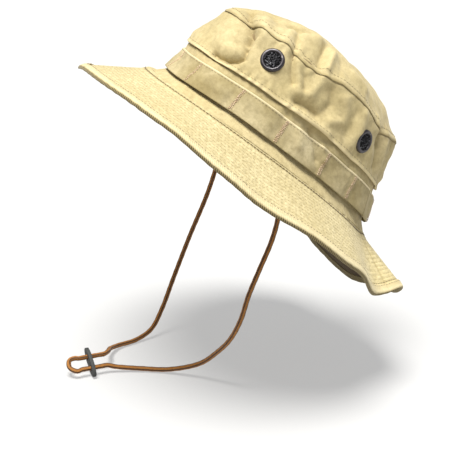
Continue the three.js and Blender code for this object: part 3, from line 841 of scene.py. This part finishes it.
def make_cord():
    path, length = smooth_route(CORD_ROUTE, 1.2 * MM)
    sides = 24
    turn = circle(sides)[:, None]
    ahead = np.gradient(path, axis=0)
    ahead /= np.linalg.norm(ahead, axis=1, keepdims=True)
    side = np.cross(ahead[0], (0, 1, 0))
    rows = []
    for k, forward in enumerate(ahead):
        side = side - forward * (side @ forward)
        side /= np.linalg.norm(side)
        other = np.cross(forward, side)
        swell = 1 + 0.03 * math.sin(k * 0.9)
        rows.append(path[k] + CORD_DIAMETER / 2 * swell * (np.cos(turn) * side + np.sin(turn) * other))
    count = len(path)
    outwards = [0, 3, 2, 1]
    faces = grid_faces(count, sides, count - 1)[:, outwards].tolist()
    uvs = grid_uvs(np.linspace(0, length, count), np.arange(sides + 1) / sides)[:, outwards]
    uvs = np.concatenate([uvs.reshape(-1, 2), np.zeros((2 * sides, 2))])
    faces.append(list(range(sides))[::-1])
    faces.append([(count - 1) * sides + k for k in range(sides)])
    made = mesh_object("chin_cord_braid", np.concatenate(rows), faces, uvs, None, CORD)
    on_hat(made, "cord_braid", "chin_cord")


def make_keeper():
    """A flat leather slide with two holes and pointed, slightly rounded ends.
    along is its length, slide its thickness and the way it moves on the cord."""
    low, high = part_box("cord_keeper")
    centre = (low + high) / 2
    along = Vector((0.842, 0.067, -0.535)).normalized()
    slide = Vector((-0.08, 1, 0)).normalized()
    across = slide.cross(along).normalized()
    along = across.cross(slide)
    data = bpy.data.curves.new("keeper_outline", "CURVE")
    data.dimensions = "2D"
    data.fill_mode = "BOTH"
    half_thickness, bevel = 1.5 * MM, 0.35 * MM
    data.extrude = half_thickness - bevel
    data.bevel_depth = bevel
    data.bevel_resolution = 3
    half_length, half_width = 13.9 * MM, 5.5 * MM
    hole_place, hole_radius = 5.6 * MM, 2.75 * MM
    outline = []
    for turn in np.linspace(0, 2 * math.pi, 96, endpoint=False):
        reach = half_length * signed_power(np.cos(turn), 1.15)
        waist = 1 - 0.10 * near(reach, 0, 3 * MM)
        outline.append((reach, half_width * signed_power(np.sin(turn), 0.95) * waist))
    rings = [outline]
    for end in (-1, 1):
        hole = []
        for turn in np.linspace(0, 2 * math.pi, 28, endpoint=False):
            hole.append((end * hole_place + hole_radius * math.cos(turn), hole_radius * math.sin(turn)))
        rings.append(hole)
    for points in rings:
        spline = data.splines.new("POLY")
        spline.points.add(len(points) - 1)
        spline.use_cyclic_u = True
        for point, (x, y) in zip(spline.points, points):
            point.co = (x, y, 0, 1)
    shape = add_object("keeper_shape", data)
    bpy.context.view_layer.update()
    mesh = bpy.data.meshes.new_from_object(shape.evaluated_get(bpy.context.evaluated_depsgraph_get()))
    bpy.data.objects.remove(shape)
    turn = Matrix((along, across, slide)).transposed().to_4x4()
    mesh.transform(Matrix.Translation(centre) @ turn)
    mesh.materials.clear()
    mesh.materials.append(HIDE)
    keeper = add_object("cord_keeper_slide", mesh)
    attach(keeper, "keeper")
    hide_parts("cord_keeper")
    return keeper


def make_anchor(side):
    """A folded tape tab with its raw ends sewn under the sweatband."""
    low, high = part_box(f"cord_anchor_{side}")
    centre = (low + high) / 2
    name = f"cord_anchor_tab_{side}"
    mesh = bpy.data.meshes.new(name)
    half = 4.2 * MM
    thickness = 4.2 * MM
    outline = sheet_section(-half, half, thickness, 6)
    widths = np.linspace(-half, half, 9)
    points = []
    for width in widths:
        pinch = 1 - 0.12 * math.cos(width / half * math.pi)
        points += [((across + thickness / 2) * pinch, width, up) for across, up in outline]
    count = len(outline)
    faces = grid_faces(len(widths), count, len(widths) - 1).tolist()
    faces.append(list(range(count)))
    faces.append([(len(widths) - 1) * count + c for c in range(count)][::-1])
    mesh.from_pydata(points, [], faces)
    mesh.transform(Matrix.Translation(centre) @ Matrix.Rotation(-PITCH, 4, "X"))
    mesh.polygons.foreach_set("use_smooth", np.ones(len(mesh.polygons), bool))
    mesh.materials.append(LINING)
    layer = mesh.uv_layers.new(name="weave")
    for polygon in mesh.polygons:
        for loop, vertex in zip(polygon.loop_indices, polygon.vertices):
            spot = mesh.vertices[vertex].co
            layer.data[loop].uv = (spot.y, spot.z)
    on_hat(add_object(name, mesh), "lining_tape", f"cord_anchor_{side}")


# ---- Crown ----
def vent_place(angle, height):
    """Centre of a vent on the wall's outer face, and the outward direction there."""
    angle, height = np.float64(angle), np.float64(height)
    reach = 6.0
    here = side_surface(angle, height, 0.0)
    left = side_surface(angle - reach, height, 0.0)
    right = side_surface(angle + reach, height, 0.0)
    above = side_surface(angle, height + 8 * MM, 0.0)
    below = side_surface(angle, height - 8 * MM, 0.0)
    outward = np.cross(right - left, above - below)
    outward /= np.linalg.norm(outward)
    further = side_surface(angle, height, 1 * MM) - here
    if outward @ further < 0:
        outward = -outward
    middle = (left + right + above + below + 2 * here) / 6
    return (middle + here) / 2, outward


VENTS = {name: vent_place(*place) for name, place in VENT_PLACES.items()}


def side_tone_and_painted_light(angle, across, up):
    """Painted highlight along the folded lower edge and painted shade in the top seam's groove under the
    panel, with random tone near the lower edge.
    """
    edge = 0.9 * near(up, BASE_HEIGHT + 0.8 * MM, 1.2 * MM) - 0.5 * near(up, CROWN_HEIGHT, 0.9 * MM)
    return edge + 0.3 * waves(angle, 41, 8, 20) * near(up, BASE_HEIGHT + 1.5 * MM, 3 * MM)


def top_painted_light(angle, across, up):
    # Painted shade in the top seam's groove and a painted highlight on the welt just inside it.
    return -0.5 * near(up, 1.0, 0.010) + 0.15 * near(up, 0.975, 0.012)


def fold_painted_light(place, spot):
    """Painted shade in the folds' valleys and painted highlight on their ridges. place gives the tint without
    folds, and spot the point of the level hat."""
    def shade(angle, across, up):
        depth = relief_amount(spot(angle, up)) / MM
        return np.clip(place(angle, across, up) + np.clip(0.075 * depth, -0.5, 0.3), -1, 1)
    return shade


def base_painted_shade(angle, across, up):
    """Painted shade at the brim seam and under the lapped seam."""
    return -0.2 * near(up, 0, 0.7 * MM) - 0.45 * near(up, BASE_HEIGHT - 0.5 * MM, 2.5 * MM)


def band_painted_light(angle, across, up):
    """Painted highlight along the folded top edge, painted shade at the lower edge and a painted shadow line
    at the lapped end.
    """
    edges = 1.0 * near(up, BAND_LOW + BAND_HEIGHT, 0.9 * MM) - 0.5 * near(up, BAND_LOW, 0.7 * MM)
    return edges - 1.0 * near(angle, BAND_END, 0.6)


def sweatband_surface(angle, across, up):
    inwards = np.minimum(wall_recess(up), 0) + front_tuck(angle, up) - 2 * MM
    return tilt(wall_point(angle, across + inwards, up))


def make_crown():
    holes = [(centre, VENT_HOLE_RADIUS) for centre, _ in VENTS.values()]
    upper = ring("crown_side_cloth", sheet_section(BASE_HEIGHT, CROWN_HEIGHT + 0.2 * MM, 1.0 * MM, 64),
                 lambda angle, across, up: side_surface(angle, up, across + 0.5 * MM),
                 TURN, True, KHAKI, fold_painted_light(side_tone_and_painted_light, lambda angle, up: wall_point(angle, 0, up)), holes)
    on_hat(upper, "khaki_cloth", "crown_side")
    shares = np.concatenate([np.linspace(0.003, 0.90, 52), np.linspace(0.908, 1.0, 20)])
    outline = [(1.0 * MM, share) for share in shares] + [(0.0, share) for share in shares[::-1]]
    top = ring("crown_top_cloth", outline, lambda angle, across, up: top_surface(angle, up, across),
               TURN, True, KHAKI, fold_painted_light(top_painted_light, lambda angle, up: top_point(angle, up, 0)), girth=0.45)
    on_hat(top, "khaki_cloth", "crown_top")
    base = ring("crown_base_cloth", sheet_section(0.2 * MM, BASE_HEIGHT + 4 * MM, 1.0 * MM, 44),
                lambda angle, across, up: base_surface(angle, up, across), TURN, True, KHAKI, base_painted_shade)
    on_hat(base, "khaki_cloth", "crown_base_wall")
    sweep = np.linspace(BAND_END, BAND_END + 360 + BAND_OVERLAP, 560)
    band = ring("foliage_band_cloth", sheet_section(BAND_LOW, BAND_LOW + BAND_HEIGHT, 1.0 * MM, 26),
                lambda angle, across, up: band_surface(angle, up, across + 0.4 * MM),
                sweep, False, BAND_KHAKI_PAINTED_SHADE, band_painted_light)
    on_hat(band, "khaki_cloth", "foliage_band")
    sweat = ring("sweatband_cloth", sheet_section(-3 * MM, 27 * MM, 1.0 * MM, 16),
                 sweatband_surface, TURN[::2], True, LINING)
    on_hat(sweat, "lining_tape", "sweatband")
    tape = ring("crown_seam_tape_cloth", sheet_section(67 * MM, 73 * MM, 0.8 * MM, 6),
                lambda angle, across, up: tilt(relief(wall_point(angle, across - 0.4 * MM, up))),
                TURN[::2], True, LINING)
    on_hat(tape, "lining_tape", "crown_seam_tape")


# ---- Brim ----
BRIM_ANGLES = np.arange(720) * 0.5
BINDING_TOP, BINDING_BOTTOM = 0.25 * MM, -3.6 * MM
BINDING_MIDDLE = (BINDING_TOP + BINDING_BOTTOM) / 2
BINDING_START = HEM_LINE + 1.3 * MM


def brim_top_painted_shade(angle, across, up):
    """Painted shade in the grooves of the hem, the brim seam, the quilting and the radial seam."""
    hem = -0.5 * near(across, HEM_LINE, 0.7 * MM)
    root = -1.0 * near(across, BRIM_SEAM_LINE, 0.7 * MM)
    rows = -0.16 * sum(near(across, row, 0.6 * MM) for row in QUILT_ROWS)
    return hem + root + rows - 0.7 * near_angle(angle, RADIAL_SEAM, 0.35)


def brim_ply(name, top, thickness, material, slot, node_name, reaches, tint=None):
    outline = [(reach, top) for reach in reaches] + [(reach, top - thickness) for reach in reaches[::-1]]
    made = ring(name, outline, brim_surface, BRIM_ANGLES, True, material, tint, girth=0.75)
    on_hat(made, slot, node_name)


def binding_section():
    """A tape folded over the brim's edge: its outer faces and round edge, then its inner faces."""
    half = (BINDING_TOP - BINDING_BOTTOM) / 2
    edge = BRIM_WIDTH - half
    width = edge - BINDING_START
    thin = 0.45 * MM
    section = []
    for reach in np.linspace(BINDING_START, edge, 9):
        crown = 0.35 * MM * math.sin(math.pi * (reach - BINDING_START) / width)
        section.append((reach, BINDING_TOP + crown))
    for turn in np.radians(np.linspace(80, -80, 13)):
        section.append((edge + half * math.cos(turn), BINDING_MIDDLE + half * math.sin(turn)))
    section += [(reach, BINDING_BOTTOM) for reach in np.linspace(edge, BINDING_START, 7)]
    inner = np.linspace(BINDING_START, BRIM_WIDTH - 2 * thin, 4)
    section += [(reach, BINDING_BOTTOM + thin) for reach in inner]
    section += [(reach, BINDING_TOP - thin) for reach in inner[::-1]]
    return section


def binding_painted_light(angle, across, up):
    """Painted highlight along the top of the edge, and painted shade below it."""
    under = np.clip((BINDING_MIDDLE + 1.3 * MM - up) / (0.9 * MM), 0, 1)
    inset = np.clip((across - BINDING_START) / (3 * MM), 0, 1)
    crest = near(up, BINDING_TOP - 0.2 * MM, 0.5 * MM) * inset
    return 0.8 * crest * (1 - under) - 1.0 * under


def make_brim():
    outs = np.concatenate([np.linspace(-1 * MM, 4 * MM, 8)[:-1],
                           np.linspace(4 * MM, HEM_LINE - 2 * MM, 78)[:-1],
                           np.linspace(HEM_LINE - 2 * MM, BRIM_WIDTH - 0.9 * MM, 18)])
    coarse = outs[::3]
    brim_ply("brim_top_quilted_cloth", -0.4 * MM, 0.5 * MM, BRIM_KHAKI_PAINTED_LIGHT, "brim_cloth", "brim_top_cloth",
             outs, brim_top_painted_shade)
    brim_ply("brim_interlining_felt", -1.5 * MM, 0.6 * MM, STIFFENER, "interlining", "brim_interlining",
             coarse)
    brim_ply("brim_under_quilted_cloth", -2.6 * MM, 0.5 * MM, UNDER_KHAKI_PAINTED_SHADE, "khaki_cloth",
             "brim_under_cloth", coarse)
    made = ring("brim_binding_tape", binding_section(), brim_surface, BRIM_ANGLES, True, BINDING,
                binding_painted_light, girth=0.88)
    on_hat(made, "binding_tape", "brim_binding")


# ---- Sewing ----
def sew(name, runs, material, slot, radius):
    on_hat(thread(name, runs, material, radius), slot)


def lifted(surface, amount):
    """The same surface, that much further out."""
    return lambda a, b, lift: surface(a, b, lift + amount)


def make_sewing():
    turn = np.arange(0, 360.01, 0.25)
    runs = [surface_run(lifted(top_surface, 1 * MM), turn, 0.955, 2.3 * MM, 0.8 * MM)]
    sew("top_seam_stitching", runs, SEWING, "khaki_cloth", 0.17 * MM)
    runs = [surface_run(lifted(side_surface, 0.5 * MM), turn, BASE_HEIGHT + 3.4 * MM, 2.3 * MM, 0.9 * MM)]
    sew("lapped_seam_stitching", runs, SEWING, "khaki_cloth", 0.13 * MM)
    brim_top = lifted(brim_surface, -0.4 * MM)
    runs = [surface_run(brim_top, turn, HEM_LINE, 2.2 * MM, 0.8 * MM)]
    sew("brim_hem_stitching", runs, SEWING, "brim_cloth", 0.2 * MM)
    # Nearly gapless dark stitches at the brim seam, which also paint its shadow line.
    runs = [surface_run(brim_top, turn, BRIM_SEAM_LINE, 3.0 * MM, 0.15 * MM)]
    sew("brim_seam_stitching_painted_shadow", runs, SEWING, "brim_cloth", 0.3 * MM)
    runs = [surface_run(brim_top, turn, row, 2.5 * MM, 0.9 * MM) for row in QUILT_ROWS]
    sew("brim_quilt_stitching", runs, QUILT_SEWING, "brim_cloth", 0.10 * MM)
    binding_top = lifted(brim_surface, 0.45 * MM)
    runs = [surface_run(binding_top, turn, HEM_LINE + 3.0 * MM, 2.2 * MM, 0.8 * MM)]
    sew("binding_stitching", runs, SEWING, "binding_tape", 0.2 * MM)
    band = lifted(band_surface, 0.45 * MM)
    stops = 40
    heights = np.linspace(BAND_LOW + 1.2 * MM, BAND_LOW + BAND_HEIGHT - 1.0 * MM, stops)
    zigzag = 0.8 * np.sign(np.sin(np.arange(stops) * math.pi / 1.6))
    runs = [surface_run(band, row + zigzag, heights, 1.5 * MM, 0.35 * MM) for row in TACK_ROWS]
    sew("band_tack_stitching", runs, PALE_SEWING, "khaki_cloth", 0.26 * MM)
    sweep = np.arange(BAND_END + 2, BAND_END + 358, 0.25)
    runs = [surface_run(band, sweep, BAND_LOW + BAND_HEIGHT - 1.8 * MM, 2.2 * MM, 0.9 * MM)]
    sew("band_edge_stitching", runs, SEWING, "khaki_cloth", 0.13 * MM)


# ---- Vents ----
# Profiles of the vent parts, as (radius, height over the cloth) in mm.
EYELET_PROFILE = [
    (5.9, -3.6), (7.2, -3.6), (7.2, -0.3), (9.4, -0.3), (9.6, 0.1), (9.6, 0.6), (9.4, 1.2), (9.1, 1.7),
    (8.6, 2.05), (8.0, 2.25), (7.4, 2.25), (6.9, 2.05), (6.6, 1.7), (6.5, 1.3), (6.4, 0.9), (5.9, 0.5),
]
WASHER_PROFILE = [(7.7, -2.6), (9.3, -2.6), (9.5, -2.4), (9.5, -2.0), (9.3, -1.8), (7.7, -1.8)]
# The dark disc behind the wires is painted shade, standing for the dark inside of the crown.
SHADE_DISC_PROFILE = [(0.01, 0.5), (6.3, 0.3), (6.3, 0.0), (0.01, 0.2)]


def lathe(name, profile, centre, outward, material, sides=72):
    turn = circle(sides)[:, None]
    across, up = np.array(profile).T * MM
    points = np.stack(np.broadcast_arrays(across * np.cos(turn), across * np.sin(turn), up), -1)
    points = points.reshape(-1, 3) @ turned(outward).T
    faces = grid_faces(sides, len(profile), sides)
    if signed_volume(points, faces) < 0:
        faces = faces[:, ::-1]
    return mesh_object(name, points + centre, faces, None, None, material)


def make_vents():
    for place, (centre, outward) in VENTS.items():
        body = lathe(f"vent_eyelet_{place}", EYELET_PROFILE, centre, outward, GUNMETAL)
        on_hat(body, "gunmetal", f"vent_ring_{place}")
        disc = lathe(f"vent_back_washer_{place}", WASHER_PROFILE, centre, outward, GUNMETAL)
        on_hat(disc, "gunmetal", f"vent_washer_{place}")
        screen = make_screen(f"vent_wire_mesh_{place}", centre, outward)
        on_hat(screen, "vent_mesh", f"vent_screen_{place}")


def make_screen(name, centre, outward):
    """Wires woven over and under each other, slightly domed, over a dark disc that paints the shade inside
    the crown.
    """
    pitch, radius, wire = 1.9 * MM, 6.45 * MM, 0.36 * MM
    corners = 6
    turn = circle(corners)[:, None]
    vertices, faces = [], []
    total = 0
    for direction in (0, 1):
        for row in np.arange(-4, 5):
            offset = row * pitch
            if abs(offset) > radius - 0.2 * MM:
                continue
            half = math.sqrt(radius ** 2 - offset ** 2)
            count = max(6, int(2 * half / (pitch / 4)))
            along = np.linspace(-half, half, count)
            phase = 0 if (row + direction) % 2 else math.pi
            weave = 0.16 * MM * np.cos(along / pitch * math.pi + phase)
            dome = 2.1 * MM - 1.1 * MM * (along ** 2 + offset ** 2) / radius ** 2
            flat = [along, np.full(count, offset)]
            sideways = np.eye(3)[1 - direction]
            if direction:
                flat = flat[::-1]
            path = np.stack([*flat, dome + weave], 1)
            loops = path[:, None, :] + wire * (np.cos(turn) * sideways + np.sin(turn) * np.eye(3)[2])
            vertices.append(loops.reshape(-1, 3))
            faces += tube_faces(total, count, corners)
            faces.append([total + c for c in range(corners)])
            faces.append([total + (count - 1) * corners + c for c in range(corners)])
            total += count * corners
    spokes = 24
    turn = circle(spokes)
    for reach, height in np.array(SHADE_DISC_PROFILE) * MM:
        vertices.append(np.stack([reach * np.cos(turn), reach * np.sin(turn), np.full(spokes, height)], 1))
    rows = len(SHADE_DISC_PROFILE)
    for k in range(rows):
        for c in range(spokes):
            d, m = (c + 1) % spokes, (k + 1) % rows
            faces.append([total + m * spokes + c, total + m * spokes + d,
                          total + k * spokes + d, total + k * spokes + c])
    spin = np.array(Matrix.Rotation(math.radians(28), 3, "Z"))
    points = np.concatenate(vertices) @ spin.T @ turned(outward).T + centre
    return mesh_object(name, points, faces, None, None, WIRE)


# ---- Floor and light ----
def make_stage():
    """A pale floor under the cord. It gives off some light, so that it stays pale under the hat."""
    grey, glow = 0.30, 0.44
    material, _, _ = blank("pale_floor", {
        "Roughness": 0.9, "Specular IOR Level": 0.1, "Base Color": (grey, grey, grey, 1),
        "Emission Color": (1, 1, 1, 1), "Emission Strength": glow})
    level = cad_low[2] - 0.3 * MM
    size = 20
    mesh = bpy.data.meshes.new("floor")
    mesh.from_pydata([(-size, -size, level), (size, -size, level), (size, size, level), (-size, size, level)],
                     [], [(0, 1, 2, 3)])
    mesh.materials.append(material)
    add_object("floor", mesh)


def make_lights():
    """A weak sky and one broad sun from above."""
    scene = bpy.context.scene
    scene.view_settings.view_transform = "Standard"
    scene.view_settings.look = "None"
    scene.world = bpy.data.worlds.new("studio")
    scene.world.use_nodes = True
    sky = scene.world.node_tree.nodes["Background"]
    sky.inputs["Color"].default_value = (0.97, 0.985, 1.0, 1)
    sky.inputs["Strength"].default_value = 0.22
    data = bpy.data.lights.new("key", "SUN")
    data.energy = 6.3
    data.angle = math.radians(30)
    data.color = (1.0, 0.985, 0.95)
    towards = Vector((0.13, -0.13, 0.97))
    add_object("key", data).rotation_euler = towards.to_track_quat("Z", "Y").to_euler()


make_camera()
keeper_piece = make_keeper()
make_cord()
for anchor_side in ("left", "right"):
    make_anchor(anchor_side)
make_crown()
make_brim()
make_sewing()
make_vents()
make_stage()
make_lights()
